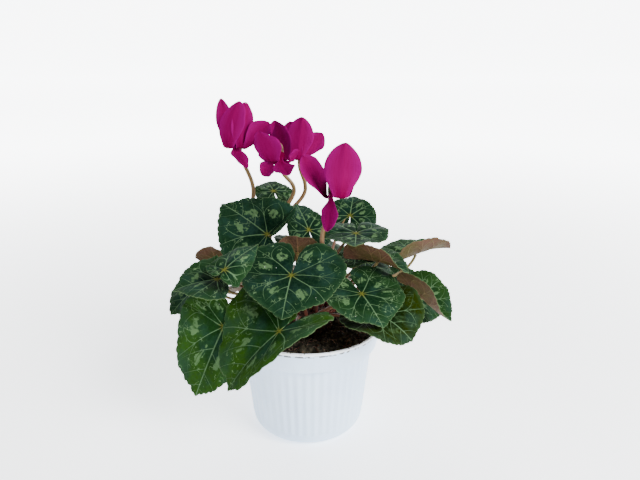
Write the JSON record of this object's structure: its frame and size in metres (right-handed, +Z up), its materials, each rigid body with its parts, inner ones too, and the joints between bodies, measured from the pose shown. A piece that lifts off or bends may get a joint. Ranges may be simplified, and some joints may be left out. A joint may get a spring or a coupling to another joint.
{
  "type": "potted cyclamen",
  "caption": "House plant in bloom: heart-shaped mottled leaves and nodding magenta flowers on stems that grow from a tuber in a filled round plastic pot.",
  "frame": {"origin": "centre of the pot's base, on the surface that it stands on", "axes": "+Z up along the pot's axis, -Y towards the side of the plant that shows best"},
  "size_m": [0.2338, 0.2104, 0.2642],
  "materials": {
    "pot": "cool white moulded plastic with fine upright ribs, soft sheen",
    "soil": "crumbly dark peat with brown fibres, no gloss",
    "tuber": "corky brown skin",
    "leaf": "dark green with pale veins and silver blotches, satin, purplish brown beneath",
    "petal": "magenta, darker at the mouth, velvety and slightly translucent",
    "stem": "reddish brown, satin"
  },
  "bodies": {
    "root": {"pot": "pot", "soil": "soil", "tuber": "tuber", "bloom_1_petals": "petal", "bloom_1_stem": "stem", "bloom_2_petals": "petal", "bloom_2_stem": "stem", "bloom_3_petals": "petal", "bloom_3_stem": "stem", "bloom_4_petals": "petal", "bloom_4_stem": "stem", "leaf_01": "leaf", "leaf_02": "leaf", "leaf_03": "leaf", "leaf_04": "leaf", "leaf_05": "leaf", "leaf_06": "leaf", "leaf_07": "leaf", "leaf_08": "leaf", "leaf_09": "leaf", "leaf_10": "leaf", "leaf_11": "leaf", "leaf_12": "leaf", "leaf_13": "leaf", "leaf_14": "leaf", "leaf_15": "leaf", "leaf_16": "leaf", "leaf_17": "leaf", "leaf_18": "leaf", "leaf_19": "leaf", "leaf_20": "leaf", "leaf_21": "leaf", "leaf_22": "leaf", "leaf_23": "leaf", "leaf_24": "leaf", "leaf_25": "leaf", "leaf_26": "leaf", "leaf_27": "leaf", "leaf_28": "leaf"}
  },
  "joints": []
}
